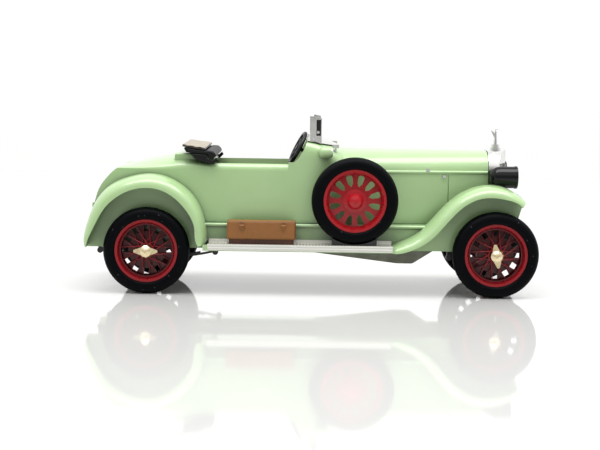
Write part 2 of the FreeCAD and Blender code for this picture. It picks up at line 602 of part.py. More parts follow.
# ---------------------------------------------------------------- screen and cockpit
def screen():
    base, top, half = SCREEN_BASE, SCREEN_TOP, SCREEN_HALF
    back, front = SCREEN_X, SCREEN_X + SCREEN_T
    outer = block((back, front), (-half, half), (base - 3.5, top))
    outer = softened(outer, 1.0, lambda edge: edge.BoundBox.ZMin > top - 0.1 and edge.BoundBox.YLength < 0.1)
    hole = block((back - 1, front + 1), (-half + 0.6, half - 0.6), (base + 0.7, top - 0.6))
    add("windscreen_frame", outer.cut(hole).cut(body_form(-0.4)))
    middle = (back + front) / 2
    add("windscreen_glass", block((middle - 0.2, middle + 0.2), (-half + 0.6 + FIT, half - 0.6 - FIT),
                                  (base + 0.7 + FIT, top - 0.6 - FIT)))
    plate = side_plate([(front + FIT, base - 3), (front + FIT, top - 0.8), (front + 2.1, top - 1.2),
                        (front + 2.1, base - 3)], (-half, -half + 0.8))
    panel = block((front + 0.75, front + 1.9), (-half - 0.1, -half + 0.25), (base + 0.2, top - 1.6))
    knob = rod(V(front + 1.2, -half - 0.3, base + 1.1), V(front + 1.2, -half + 0.3, base + 1.1), 0.36)
    post = join([plate.cut(panel), knob]).cut(body_form(-0.4))
    add_group("windscreen_posts", largest(post))
    cover = side_plate([(SCUTTLE_X + 0.1, 38.7), (6.4, 37.3), (6.4, 60), (SCUTTLE_X + 0.1, 60)], (-11.6, 11.6))
    skin = body_form(-0.35).common(cover).cut(body_form(-0.03))
    add("scuttle_plate", largest(skin))
    nut_x, nut_z = 5.9, 37.4
    stem = rod(V(nut_x, -9.9, nut_z - 2.6), V(nut_x, -9.9, nut_z), 0.42)
    wings = block((nut_x - 0.85, nut_x + 0.85), (-10.1, -9.7), (nut_z - 0.5, nut_z + 0.3))
    add_group("scuttle_wing_nuts", largest(join([stem, wings]).cut(body_form(-0.4))))


def cockpit():
    inside = BODY_HALF - WALL - 0.15
    back, front = COCKPIT_BACK + 0.2, 6.0
    floor = block((back, front), (-inside, inside), (BODY_BOTTOM, FLOOR_Z))
    rear_wall = block((back, back + 0.8), (-inside, inside), (FLOOR_Z, 31.5))
    toe = block((front - 0.8, front), (-inside, inside), (FLOOR_Z, 27.0))
    tunnel = block((-14, front), (-1.4, 1.4), (FLOOR_Z, FLOOR_Z + 1.6))
    wall = block((back, front), (inside - 0.6, inside), (FLOOR_Z, 30.5))
    walls = [wall, to_left(wall)]
    add("interior_tub", join([floor, rear_wall, toe, tunnel] + walls).common(body_form(WALL + 0.1)))
    seat_half = inside - 0.75
    seat_x = back + 0.95
    cushion = block((seat_x + 2.2, seat_x + 9.4), (-seat_half, seat_half), (FLOOR_Z + 0.02, SEAT_TOP))
    add("seat_cushion", softened(cushion, 1.1, lambda edge: edge.BoundBox.ZMin > SEAT_TOP - 0.1))
    squab = side_plate([(seat_x, FLOOR_Z + 0.02), (seat_x + 2.1, FLOOR_Z + 0.02), (seat_x + 2.1, 28.0),
                        (seat_x + 1.9, 31.2), (seat_x, 31.2)], (-seat_half, seat_half))
    add("seat_back", softened(squab, 0.7, lambda edge: edge.BoundBox.ZMin > 31.1))
    board_form = body_form(WALL + 0.1).common(block((0.4, 1.4), (-20, 20), (30.6, 60)))
    dials = [rod(V(-0.1, y, 35.4), V(0.5, y, 35.4), 1.0) for y in (-1.6, 1.6, 4.4)]
    add("dashboard", join([board_form] + dials))
    rake, yaw = math.radians(STEER_RAKE), math.radians(STEER_YAW)
    axis = V(math.cos(rake) * math.cos(yaw), math.cos(rake) * math.sin(yaw), -math.sin(rake))
    hub = V(STEER_X, STEER_Y, STEER_Z)
    column_end = hub + axis * ((0.4 - STEER_X) / axis.x)
    ring = Part.makeTorus(STEER_R, STEER_RIM_R, hub, axis)
    centre = rod(hub - axis * 0.5, hub + axis * 0.55, 0.85)
    across = V(-math.sin(yaw), math.cos(yaw), 0)
    lift = across.cross(axis) * -1
    arms = []
    for count in range(4):
        angle = math.radians(45 + 90 * count)
        reach = lift * (STEER_R * math.sin(angle)) + across * (STEER_R * math.cos(angle))
        arms.append(rod(hub, hub + reach, 0.3))
    add("steering_wheel", join([ring, centre] + arms))
    column = rod(hub + axis * 0.6, column_end + axis * 0.6, 0.5).cut(board_form)
    add("steering_column", largest(column))
    levers = []
    for x, y, lean, length in ((-10.5, -2.9, 0.25, 9.0), (-8.0, 2.9, 0.1, 7.0)):
        foot = V(x, y, FLOOR_Z + 0.01)
        tip = foot + V(lean * length, 0, length)
        levers.append(join([rod(foot, tip, 0.32), Part.makeSphere(0.6, tip)]))
    add("hand_levers", Part.makeCompound(levers))


def folded_hood():
    """Folded soft top: a black bag on the coaming, its fabric slab, and the bag's ends beside the body."""
    bag_outline = [(-31.9, 35.3), (-32.8, 36.8), (-24.6, 35.6), (-24.0, 34.6), (-25.4, 33.4), (-26.6, 35.0)]
    bag = side_plate(bag_outline, (-HOOD_HALF, HOOD_HALF)).cut(body_form(-0.15)).cut(coaming())
    rail = side_plate([(-26.7, 35.5), (-26.8, 36.2), (-24.9, 36.0), (-24.6, 34.6)],
                      (-HOOD_HALF + 0.2, HOOD_HALF - 0.2))
    rail = rail.cut(body_form(-0.15)).cut(coaming())
    bag = join([largest(bag), softened(rail, 0.3, lambda edge: edge.BoundBox.ZMin > 35.9)])
    add("hood_bag", bag)
    slab = side_plate([(-33.0, 36.87), (-33.0, 37.65), (-26.85, 36.8), (-26.85, 35.99)],
                      (-HOOD_HALF, HOOD_HALF))
    add("hood_fabric", softened(slab, 0.3, all_edges))
    end = side_plate([(-32.4, 36.5), (-31.2, 35.2), (-29.6, 33.5), (-25.0, 32.2), (-23.6, 33.6), (-24.8, 35.4)],
                     (-HOOD_HALF, -BODY_HALF - 0.1))
    end = softened(end, 0.45, lambda edge: edge.BoundBox.YMax < -HOOD_HALF + 0.01)
    stud = rod(V(-26.4, -HOOD_HALF - 0.25, 33.4), V(-26.4, -BODY_HALF - 0.02, 33.4), 0.4)
    add_group("hood_bag_ends", largest(join([end, stud]).cut(bag).cut(coaming())))


# ---------------------------------------------------------------- running-board trim
def board_trim():
    floor = BOARD_Z + BOARD_T
    length, brow = (BOARD_BACK + 1.2, BOARD_FRONT - 0.6), BOARD_Z + 1.75
    mat = block(length, (-WING_OUT + 0.65, -APRON_Y - 0.35), (floor, floor + MAT_T))
    upstand = block(length, (-APRON_Y - 0.35, -APRON_Y - 0.1), (floor, floor + 1.4))
    edge = block(length, (-WING_OUT - 0.2, -WING_OUT), (BOARD_Z + 0.2, brow))
    lip = block(length, (-WING_OUT - 0.2, -WING_OUT + 0.8), (BOARD_Z + 1.5, brow))
    inner = block(length, (-WING_OUT + 0.6, -WING_OUT + 0.8), (floor, brow))
    add_group("running_board_mats", join([mat, upstand, edge, lip, inner]))
    base = floor + MAT_T + 0.01
    lid_z = base + 1.5
    foot = block((BOX_X[0] + 0.5, BOX_X[1] - 0.5), (BOX_Y[0] + 0.35, BOX_Y[1] - 0.35), (base, lid_z))
    add("luggage_box_base", softened(foot, 0.5, lambda edge: edge.BoundBox.ZLength > 1))
    lid = block(BOX_X, BOX_Y, (lid_z, BOX_TOP))
    add("luggage_box", softened(lid, 0.5, all_edges))
    clasps = []
    for x in (BOX_X[0] + 3.8, BOX_X[1] - 3.1):
        plate = block((x - 0.45, x + 0.45), (BOX_Y[0] - 0.25, BOX_Y[0] + 0.3), (BOX_TOP - 2.2, BOX_TOP - 0.3))
        loop = rod(V(x - 0.6, BOX_Y[0] - 0.2, BOX_TOP - 1.1), V(x + 0.6, BOX_Y[0] - 0.2, BOX_TOP - 1.1), 0.24)
        clasps.append(join([plate, loop]).cut(lid))
    add("luggage_clasps", Part.makeCompound(clasps))


def small_trim():
    catches = []
    taper = (BONNET_HALF_FRONT - BONNET_HALF_BACK) / (BONNET_FRONT - BONNET_X)
    for side in (1, -1):
        for x, z in ((29.6, SHOULDER_Z + 0.55), (33.8, SHOULDER_Z - 1.05)):
            half = BONNET_HALF_BACK + taper * (x - BONNET_X)
            knob = rod(V(x, side * (half - 0.4), z), V(x, side * (half + 0.5), z), 0.42)
            catches.append(largest(knob.cut(body_form(-0.01)).cut(hinge_bead(side))))
    add("bonnet_catches", Part.makeCompound(catches))
    lamp = rod(V(-54.9, 6.5, 23.0), V(-56.6, 6.5, 23.0), 1.0).cut(body_form(-0.01))
    add("tail_lamp", largest(lamp))
    number = block((-56.7, -56.2), (-5.0, 3.0), (19.2, 21.6))
    arm = block((-56.3, -54.0), (-1.6, -0.4), (19.9, 20.9))
    number = join([number, arm]).cut(body_form(-0.01))
    add("number_plate_blank", largest(number))


# ---------------------------------------------------------------- assembly
add("body_shell", body_shell())
add_pair("wing_casting", wing_casting())
add("chassis_plate", chassis_plate())
add("baseplate_screws", Part.makeCompound([screw(x) for x in SCREW_X]))
spring_over = TYRE_R + AXLE_R + 1.5
spring_under = TYRE_R - AXLE_R - 2.0
rear_spring = leaf_spring(-54.0, 9.9, REAR_AXLE_X, spring_under, -24.5, 9.8)
front_spring = leaf_spring(35.4, 9.2, FRONT_AXLE_X, spring_over, 50.0, 11.6)
springs = [rear_spring, front_spring, to_left(rear_spring), to_left(front_spring)]
add("leaf_springs", Part.makeCompound(springs))
add("engine_undertray", undertray())
add("exhaust_pipe", exhaust())
wheelset("front", FRONT_AXLE_X, 80)
wheelset("rear", REAR_AXLE_X, 0)
spare_wheel()
radiator()
headlamps()
side_lamps()
screen()
cockpit()
folded_hood()
board_trim()
small_trim()

os.makedirs("parts", exist_ok=True)
for node, shape in parts.items():
    shape.exportStep("parts/" + node + ".step")
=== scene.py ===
import math

import bmesh
import bpy
from mathutils import Matrix, Vector, noise


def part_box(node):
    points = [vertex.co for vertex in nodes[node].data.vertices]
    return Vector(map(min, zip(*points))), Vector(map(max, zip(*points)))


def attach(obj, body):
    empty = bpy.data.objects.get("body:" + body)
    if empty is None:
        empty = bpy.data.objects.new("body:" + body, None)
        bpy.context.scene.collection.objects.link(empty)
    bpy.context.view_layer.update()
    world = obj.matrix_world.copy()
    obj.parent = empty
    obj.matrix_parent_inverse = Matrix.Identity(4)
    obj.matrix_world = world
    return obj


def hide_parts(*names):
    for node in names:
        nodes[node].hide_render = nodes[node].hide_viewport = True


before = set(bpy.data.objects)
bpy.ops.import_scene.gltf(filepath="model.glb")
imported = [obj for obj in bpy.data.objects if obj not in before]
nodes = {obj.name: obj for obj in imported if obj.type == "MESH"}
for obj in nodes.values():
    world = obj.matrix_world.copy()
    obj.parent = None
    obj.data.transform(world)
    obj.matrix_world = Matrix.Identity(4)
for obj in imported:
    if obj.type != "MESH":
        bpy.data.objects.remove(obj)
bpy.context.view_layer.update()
MM = 0.001

# ---------------------------------------------------------------- camera
# A long lens at about the height of the windscreen, square to the car's right side, looking a little down.
# It stands 390 mm away, so the far wheels show just inside the near ones.
CAMERA_PLACE_MM = (-2.88, -390.0, 57.0)
LOOK_DOWN = 6.0
LEAN = 0.85
camera_data = bpy.data.cameras.new("studio_camera")
camera_data.lens = 89.6
camera_data.sensor_width = 36.0
camera_data.clip_start = 0.01
camera = bpy.data.objects.new("studio_camera", camera_data)
camera.matrix_world = (Matrix.Translation(Vector(CAMERA_PLACE_MM) * MM)
                       @ Matrix.Rotation(math.radians(90.0 - LOOK_DOWN), 4, "X")
                       @ Matrix.Rotation(math.radians(LEAN), 4, "Z"))
bpy.context.scene.collection.objects.link(camera)
bpy.context.scene.camera = camera


# ---------------------------------------------------------------- studio
# A white acrylic table with a soft gloss, in a white room with a dimmer wall behind the camera, so that
# bright metal has something dark to mirror. The light comes from one large softbox overhead.
def linear(hex_colour):
    """Linear RGBA from an sRGB hex colour."""
    channels = [int(hex_colour[start:start + 2], 16) / 255 for start in (1, 3, 5)]
    return [c / 12.92 if c <= 0.04045 else ((c + 0.055) / 1.055) ** 2.4 for c in channels] + [1.0]


def per_metre(size_mm):
    """How many pattern cells of this size lie along a metre."""
    return 1000.0 / size_mm


def add_node(material, kind, values=None, links=None, **settings):
    """Adds one shader node with its settings, typed-in values and links."""
    node = material.node_tree.nodes.new(kind)
    for name, value in settings.items():
        setattr(node, name, value)
    for socket, value in (values or {}).items():
        node.inputs[socket].default_value = value
    for socket, source in (links or {}).items():
        material.node_tree.links.new(source, node.inputs[socket])
    return node


def start_material(name, **surface):
    """A material, its Principled shader and the position that stays with the piece."""
    material = bpy.data.materials.new(name)
    material.use_nodes = True
    shader = material.node_tree.nodes["Principled BSDF"]
    for socket, value in surface.items():
        shader.inputs[socket.replace("_", " ")].default_value = value
    return material, shader, add_node(material, "ShaderNodeTexCoord").outputs["Object"]


def connect(material, shader, **links):
    """Links patterns to the shader's sockets."""
    for socket, source in links.items():
        material.node_tree.links.new(source, shader.inputs[socket.replace("_", " ")])


def mesh_piece(name, build, material, body):
    """A new mesh object from a bmesh-building function, riding on a CAD body."""
    mesh = bpy.data.meshes.new(name)
    work = bmesh.new()
    build(work)
    bmesh.ops.recalc_face_normals(work, faces=work.faces)
    for face in work.faces:
        face.smooth = True
    work.to_mesh(mesh)
    work.free()
    piece = bpy.data.objects.new(name, mesh)
    bpy.context.scene.collection.objects.link(piece)
    mesh.materials.append(material)
    if body is not None:
        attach(piece, body)
    return piece


# White acrylic: an even white sheet under a clear gloss that mirrors the wheels softly.
acrylic, shader, spot = start_material("white_acrylic_sheet", Roughness=0.6, Coat_Weight=1.0, Coat_IOR=1.45,
                                       Coat_Roughness=0.05)
haze = add_node(acrylic, "ShaderNodeTexNoise", {"Scale": per_metre(60.0), "Detail": 2.0},
                {"Vector": spot})
tone = add_node(acrylic, "ShaderNodeMix", {"A": linear("#C9C9C7"), "B": linear("#CFCFCD")},
                {"Factor": haze.outputs["Fac"]}, data_type="RGBA")
connect(acrylic, shader, Base_Color=tone.outputs["Result"])


TABLE_HALF = 2.5


def table_top(work):
    """A flat sheet, five metres square."""
    bmesh.ops.create_grid(work, x_segments=2, y_segments=2, size=TABLE_HALF)


table = mesh_piece("table_top", table_top, acrylic, None)

# The room: how strongly the far walls, the wall behind the camera and the ceiling glow.
ROOM_BRIGHT, ROOM_DIM, CEILING = 1.06, 0.42, 1.2
world = bpy.data.worlds.new("white_room")
world.use_nodes = True
bpy.context.scene.world = world
background = world.node_tree.nodes["Background"]
background.inputs["Color"].default_value = linear("#FFFFFF")
direction = add_node(world, "ShaderNodeTexCoord").outputs["Generated"]
facing = add_node(world, "ShaderNodeSeparateXYZ", None, {"Vector": direction}).outputs
walls = add_node(world, "ShaderNodeMapRange", {"From Min": -0.8, "From Max": 0.1, "To Min": ROOM_DIM,
                                               "To Max": ROOM_BRIGHT}, {"Value": facing["Y"]})
upward = add_node(world, "ShaderNodeMapRange", {"From Min": 0.3, "From Max": 0.6}, {"Value": facing["Z"]})
glow = add_node(world, "ShaderNodeMix", {"B": CEILING}, {"Factor": upward.outputs["Result"],
                                                         "A": walls.outputs["Result"]}, data_type="FLOAT")
world.node_tree.links.new(glow.outputs["Result"], background.inputs["Strength"])
# The Standard view shows the paint colours as they are typed.
bpy.context.scene.view_settings.view_transform = "Standard"


def softbox(name, centre_mm, aim_mm, width_mm, height_mm, watts):
    """Rectangular area light aimed at a point."""
    data = bpy.data.lights.new(name, "AREA")
    data.shape = "RECTANGLE"
    data.size = width_mm * MM
    data.size_y = height_mm * MM
    data.energy = watts
    lamp = bpy.data.objects.new(name, data)
    bpy.context.scene.collection.objects.link(lamp)
    lamp.location = Vector(centre_mm) * MM
    direction = Vector(aim_mm) - Vector(centre_mm)
    lamp.rotation_euler = direction.to_track_quat("-Z", "Y").to_euler()


softbox("overhead_softbox", centre_mm=(20, -100, 500), aim_mm=(0, 0, 15), width_mm=640, height_mm=300,
        watts=3.2)


# ---------------------------------------------------------------- chassis plate, springs and brackets
# The plate is a zinc casting under the whole car, painted a green so dark that it reads as black.
# The leaf springs, the lamp brackets and the spare's cradle are small castings with the same paint.
def paint(material, *names):
    """Gives CAD nodes a new material."""
    for name in names:
        slots = nodes[name].data.materials
        slots.clear()
        slots.append(material)


# Satin chassis enamel: a thin dark film with a faint cast grain and duller patches.
chassis, shader, spot = start_material("satin_chassis_enamel", Coat_Weight=0.3, Coat_Roughness=0.3)
patch = add_node(chassis, "ShaderNodeTexNoise", {"Scale": per_metre(6.0)}, {"Vector": spot}).outputs["Fac"]
grain = add_node(chassis, "ShaderNodeTexNoise", {"Scale": per_metre(0.5)}, {"Vector": spot}).outputs["Fac"]
tone = add_node(chassis, "ShaderNodeMix", {"A": linear("#070C08"), "B": linear("#141C14")}, {"Factor": patch},
                data_type="RGBA")
dull = add_node(chassis, "ShaderNodeMapRange", {"To Min": 0.3, "To Max": 0.6}, {"Value": grain})
relief = add_node(chassis, "ShaderNodeBump", {"Distance": 0.03 * MM}, {"Height": grain})
connect(chassis, shader, Base_Color=tone.outputs["Result"], Roughness=dull.outputs["Result"],
        Normal=relief.outputs["Normal"])
paint(chassis, "chassis_plate", "leaf_springs", "headlamp_brackets", "spare_cradle")

# ---------------------------------------------------------------- engine undertray and exhaust
# The undertray is an unpainted zinc casting, tumbled to a dull grey, and the exhaust is cast with the same
# finish.
# Tumbled zinc: dull grey-green metal with a coarse grain that breaks up its shine.
zinc, shader, spot = start_material("tumbled_zinc", Metallic=0.5)
patch = add_node(zinc, "ShaderNodeTexNoise", {"Scale": per_metre(3.0)}, {"Vector": spot}).outputs["Fac"]
grain = add_node(zinc, "ShaderNodeTexNoise", {"Scale": per_metre(0.5), "Detail": 6.0},
                 {"Vector": spot}).outputs["Fac"]
tone = add_node(zinc, "ShaderNodeMix", {"A": linear("#727566"), "B": linear("#ABAD9D")}, {"Factor": patch},
                data_type="RGBA")
dull = add_node(zinc, "ShaderNodeMapRange", {"To Min": 0.45, "To Max": 0.75}, {"Value": grain})
relief = add_node(zinc, "ShaderNodeBump", {"Distance": 0.08 * MM}, {"Height": grain})
connect(zinc, shader, Base_Color=tone.outputs["Result"], Roughness=dull.outputs["Result"],
        Normal=relief.outputs["Normal"])
paint(zinc, "engine_undertray", "exhaust_pipe")

# ---------------------------------------------------------------- axles and screws
# Each pair of wheels is pressed on a straight steel axle, which turns in the saddles of the chassis plate.
# Two pan-head screws hold the plate to the body.
# Drawn steel: bright metal with fine scratches round the bar.
steel, shader, spot = start_material("drawn_steel", Metallic=1.0, Base_Color=linear("#B9B9B6"))
stretched = add_node(steel, "ShaderNodeMapping", {"Scale": (1.0, 8.0, 1.0)}, {"Vector": spot})
scratch = add_node(steel, "ShaderNodeTexNoise", {"Scale": per_metre(1.1), "Detail": 4.0, "Distortion": 0.2},
                   {"Vector": stretched.outputs["Vector"]}).outputs["Fac"]
dull = add_node(steel, "ShaderNodeMapRange", {"To Min": 0.18, "To Max": 0.42}, {"Value": scratch})
relief = add_node(steel, "ShaderNodeBump", {"Distance": 0.01 * MM}, {"Height": scratch})
connect(steel, shader, Roughness=dull.outputs["Result"], Normal=relief.outputs["Normal"])
paint(steel, "front_axle", "rear_axle", "baseplate_screws", "spare_stud")

# ---------------------------------------------------------------- body shell, wings and side lamps
# Three zinc castings are sprayed the same mint green and screwed together through the chassis plate.
# The side lamps and the blank number plate are separate small castings, sprayed with the body.
# Sprayed mint enamel: a glossy film with faint orange peel and a few dust nibs. Shade is painted into its
# colour: it turns deep green in the corners and under the wings, where ambient occlusion finds it hemmed in.
enamel, shader, spot = start_material("sprayed_mint_enamel", Roughness=0.34, Coat_Weight=0.8,
                                      Coat_Roughness=0.07, Coat_IOR=1.45)
cloud = add_node(enamel, "ShaderNodeTexNoise", {"Scale": per_metre(9.0)}, {"Vector": spot}).outputs["Fac"]
film = add_node(enamel, "ShaderNodeMix", {"A": linear("#97B680"), "B": linear("#A6C48F")}, {"Factor": cloud},
                data_type="RGBA")
open_face = add_node(enamel, "ShaderNodeAmbientOcclusion", {"Distance": 6.0 * MM}, None, samples=8)
# Painted shade: where ambient occlusion finds the surface hemmed in, the colour falls towards deep green.
painted_recess_shade = add_node(enamel, "ShaderNodeMapRange", {"From Min": 0.1, "From Max": 0.72},
                  {"Value": open_face.outputs["AO"]})
tone = add_node(enamel, "ShaderNodeMix", {"A": linear("#264220")},
                {"Factor": painted_recess_shade.outputs["Result"], "B": film.outputs["Result"]}, data_type="RGBA")
peel = add_node(enamel, "ShaderNodeTexNoise", {"Scale": per_metre(0.9)}, {"Vector": spot}).outputs["Fac"]
dust = add_node(enamel, "ShaderNodeTexVoronoi", {"Scale": per_metre(2.6)}, {"Vector": spot})
nib = add_node(enamel, "ShaderNodeMapRange", {"From Max": 0.06, "To Min": 1.0, "To Max": 0.0},
               {"Value": dust.outputs["Distance"]})
waves = add_node(enamel, "ShaderNodeBump", {"Distance": 0.012 * MM}, {"Height": peel})
relief = add_node(enamel, "ShaderNodeBump", {"Distance": 0.02 * MM, "Strength": 0.6},
                  {"Height": nib.outputs["Result"], "Normal": waves.outputs["Normal"]})
connect(enamel, shader, Base_Color=tone.outputs["Result"], Normal=relief.outputs["Normal"],
        Coat_Normal=relief.outputs["Normal"])
paint(enamel, "body_shell", "wing_casting_right", "wing_casting_left", "side_lamps", "number_plate_blank")


# ---------------------------------------------------------------- road wheels: rims and spokes
# Each wheel is two plastic mouldings: a channel rim with a windowed back layer, and an insert of laced
# spokes in front of it. Both are moulded in red.
def red_moulding(name, inner_mm, outer_mm, painted_shade_tone, open_tone):
    """Moulded red plastic: glossy, with small flow marks. Shade from the spokes is painted into the colour:
    the back layer is painted darker than the outer face. The layers are told apart by their distance from the
    middle."""
    material, shader, spot = start_material(name, IOR=1.5, Specular_IOR_Level=0.25, Coat_Weight=0.25,
                                           Coat_Roughness=0.08)
    across = add_node(material, "ShaderNodeSeparateXYZ", None, {"Vector": spot}).outputs["Y"]
    away = add_node(material, "ShaderNodeMath", None, {0: across}, operation="ABSOLUTE").outputs["Value"]
    # Painted shade: towards the middle the colour falls to the dark tone of the back layer.
    layer = add_node(material, "ShaderNodeMapRange", {"From Min": inner_mm * MM, "From Max": outer_mm * MM},
                     {"Value": away})
    tone = add_node(material, "ShaderNodeMix", {"A": linear(painted_shade_tone), "B": linear(open_tone)},
                    {"Factor": layer.outputs["Result"]}, data_type="RGBA")
    flow = add_node(material, "ShaderNodeTexNoise", {"Scale": per_metre(1.4)},
                    {"Vector": spot}).outputs["Fac"]
    dull = add_node(material, "ShaderNodeMapRange", {"To Min": 0.16, "To Max": 0.4}, {"Value": flow})
    relief = add_node(material, "ShaderNodeBump", {"Distance": 0.02 * MM}, {"Height": flow})
    connect(material, shader, Base_Color=tone.outputs["Result"], Roughness=dull.outputs["Result"],
            Normal=relief.outputs["Normal"])
    return material


wheel_red = red_moulding("moulded_red_wheels", 17.2, 18.9, "#43060B", "#920F1A")
for axle in ("front", "rear"):
    for side in ("right", "left"):
        paint(wheel_red, f"{axle}_rim_{side}", f"{axle}_spokes_{side}")

# ---------------------------------------------------------------- tyres
# Slick tyres are moulded in soft black vinyl and stretched over the rims. A bead line runs round the
# sidewall, and shallow grooves run round the tread.
# Soft black vinyl: a dull tread with a weak sheen on the sidewall, which picks up specks of pale dust.
vinyl, shader, spot = start_material("soft_black_vinyl", IOR=1.5, Specular_IOR_Level=0.06)
speck = add_node(vinyl, "ShaderNodeTexVoronoi", {"Scale": per_metre(1.7)},
                 {"Vector": spot}).outputs["Distance"]
clean = add_node(vinyl, "ShaderNodeMapRange", {"From Min": 0.05, "From Max": 0.09}, {"Value": speck})
tone = add_node(vinyl, "ShaderNodeMix", {"A": linear("#4E5156"), "B": linear("#030406")},
                {"Factor": clean.outputs["Result"]}, data_type="RGBA")
grain = add_node(vinyl, "ShaderNodeTexNoise", {"Scale": per_metre(0.4)}, {"Vector": spot}).outputs["Fac"]
dull = add_node(vinyl, "ShaderNodeMapRange", {"To Min": 0.36, "To Max": 0.6}, {"Value": grain})
relief = add_node(vinyl, "ShaderNodeBump", {"Distance": 0.015 * MM}, {"Height": grain})
connect(vinyl, shader, Base_Color=tone.outputs["Result"], Roughness=dull.outputs["Result"],
        Normal=relief.outputs["Normal"])
RING_STEPS, ARC_STEPS = 120, 46
TREAD_GROOVES = (-0.34, 0.0, 0.34)
GROOVE_DEPTH, GROOVE_WIDTH = 0.10 * MM, 0.045
BEAD_STEP = 0.25 * MM
RIM_SHARE = 7.9 / 10.9


def turned_ring(profile, centre):
    """Builder of a closed ring turned about a line along Y, from (radius, offset) points in metres."""
    def build(work):
        rings = []
        for step in range(RING_STEPS):
            angle = 2 * math.pi * step / RING_STEPS
            rings.append([work.verts.new((centre.x + radius * math.cos(angle), centre.y + offset,
                                          centre.z + radius * math.sin(angle)))
                          for radius, offset in profile])
        for step in range(RING_STEPS):
            here, there = rings[step], rings[(step + 1) % RING_STEPS]
            for index in range(len(profile)):
                nearer = (index + 1) % len(profile)
                work.faces.new((here[index], here[nearer], there[nearer], there[index]))
    return build


def tyre_profile(outer, inner, half):
    """Half-round tread with three grooves, a bead line on the sidewall and a flat seat on the rim."""
    points = []
    for step in range(ARC_STEPS + 1):
        angle = math.pi * step / ARC_STEPS
        offset = half * math.copysign(abs(math.cos(angle)) ** 0.82, math.cos(angle))
        radius = inner + (outer - inner) * (0.16 + 0.84 * math.sin(angle) ** 0.72)
        for groove in TREAD_GROOVES:
            radius -= GROOVE_DEPTH * math.exp(-((offset / half - groove) / GROOVE_WIDTH) ** 2)
        points.append((radius, offset))
    seat = [(inner + BEAD_STEP, -0.93 * half), (inner, -0.8 * half),
            (inner, 0.8 * half), (inner + BEAD_STEP, 0.93 * half)]
    return points + seat


def make_tyre(node, body):
    """A grooved tyre in the box of a plain one."""
    low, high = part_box(node)
    centre = (low + high) / 2
    outer = (high.z - low.z) / 2
    profile = tyre_profile(outer, outer * RIM_SHARE, (high.y - low.y) / 2)
    piece = mesh_piece(node + "_vinyl", turned_ring(profile, centre), vinyl, body)
    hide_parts(node)


for axle in ("front", "rear"):
    for side in ("right", "left"):
        make_tyre(f"{axle}_tyre_{side}", f"{axle}_wheelset")
make_tyre("spare_tyre", "car")

# ---------------------------------------------------------------- hub caps
# Two-eared knock-off nuts, moulded in plastic and vacuum-plated in pale brass. They hide the axle ends.
# Pale brass plating: a champagne-coloured mirror with soft waves from the moulding below.
brass, shader, spot = start_material("pale_brass_plating", Metallic=1.0)
patch = add_node(brass, "ShaderNodeTexNoise", {"Scale": per_metre(1.2)}, {"Vector": spot}).outputs["Fac"]
tone = add_node(brass, "ShaderNodeMix", {"A": linear("#C9B384"), "B": linear("#F2E6C4")}, {"Factor": patch},
                data_type="RGBA")
dull = add_node(brass, "ShaderNodeMapRange", {"To Min": 0.12, "To Max": 0.3}, {"Value": patch})
relief = add_node(brass, "ShaderNodeBump", {"Distance": 0.05 * MM}, {"Height": patch})
connect(brass, shader, Base_Color=tone.outputs["Result"], Roughness=dull.outputs["Result"],
        Normal=relief.outputs["Normal"])
paint(brass, "front_hub_caps", "rear_hub_caps")

# ---------------------------------------------------------------- spare wheel
# The spare's rim and domed hub are one colour of red, held on a steel stud in the body side. Its slotted
# face stands further out than the back layer of a road wheel, so it gets less painted shade and is painted
# brighter.
spare_red = red_moulding("moulded_red_spare", 16.2, 18.4, "#7E0C15", "#A0121B")
paint(spare_red, "spare_rim", "spare_hub_nut")

# ---------------------------------------------------------------- interior and seat
# A plastic tub fills the cockpit. The bench seat is a separate moulding with sewn pleats.
# Grained brown leathercloth: fine pebble grain, darker in the hollows, with a low sheen.
leather, shader, spot = start_material("grained_leathercloth", IOR=1.46, Sheen_Weight=0.15)
patch = add_node(leather, "ShaderNodeTexNoise", {"Scale": per_metre(4.0)}, {"Vector": spot}).outputs["Fac"]
pebble = add_node(leather, "ShaderNodeTexVoronoi", {"Scale": per_metre(0.35)}, {"Vector": spot},
                  feature="SMOOTH_F1").outputs["Distance"]
tone = add_node(leather, "ShaderNodeMix", {"A": linear("#2E150D"), "B": linear("#5C3421")}, {"Factor": patch},
                data_type="RGBA")
dull = add_node(leather, "ShaderNodeMapRange", {"To Min": 0.4, "To Max": 0.6}, {"Value": patch})
relief = add_node(leather, "ShaderNodeBump", {"Distance": 0.04 * MM}, {"Height": pebble})
connect(leather, shader, Base_Color=tone.outputs["Result"], Roughness=dull.outputs["Result"],
        Normal=relief.outputs["Normal"])
paint(leather, "interior_tub")
PLEAT_MM, PLEAT_DEPTH, PAD_SINK = 1.9, 0.35, 0.05
PAD_CUTS = 47
PAD_CROWN = 0.10
PAD_FACE = 0.98


def pleated_pad(node, across_top):
    """Crowned pad in the node's box, with pleats along X on a cushion or up Z on a back."""
    low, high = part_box(node)
    size = high - low

    def build(work):
        bmesh.ops.create_cube(work, size=1.0)
        bmesh.ops.subdivide_edges(work, edges=work.edges[:], cuts=PAD_CUTS, use_grid_fill=True)
        for vertex in work.verts:
            unit = vertex.co * 2
            ease = [1 - PAD_CROWN * abs(unit[(axis + 1) % 3]) ** 6 * abs(unit[(axis + 2) % 3]) ** 2
                    for axis in range(3)]
            rounded = Vector(unit[axis] * ease[axis] for axis in range(3))
            point = low + Vector((rounded[axis] + 1) / 2 * size[axis] for axis in range(3))
            groove = abs(math.sin(math.pi * (point.y / MM) / PLEAT_MM)) ** 0.5
            facing = unit.z if across_top else unit.x
            if facing > PAD_FACE:
                inner = (1 - abs(unit.y) ** 8) * (1 - abs(unit.x if across_top else unit.z) ** 8)
                sink = (PLEAT_DEPTH * (1 - groove) + PAD_SINK) * inner * MM
                if across_top:
                    point.z -= sink
                else:
                    point.x -= sink
            vertex.co = point
    piece = mesh_piece(node + "_pleated", build, leather, "car")
    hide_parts(node)


pleated_pad("seat_cushion", True)
pleated_pad("seat_back", False)

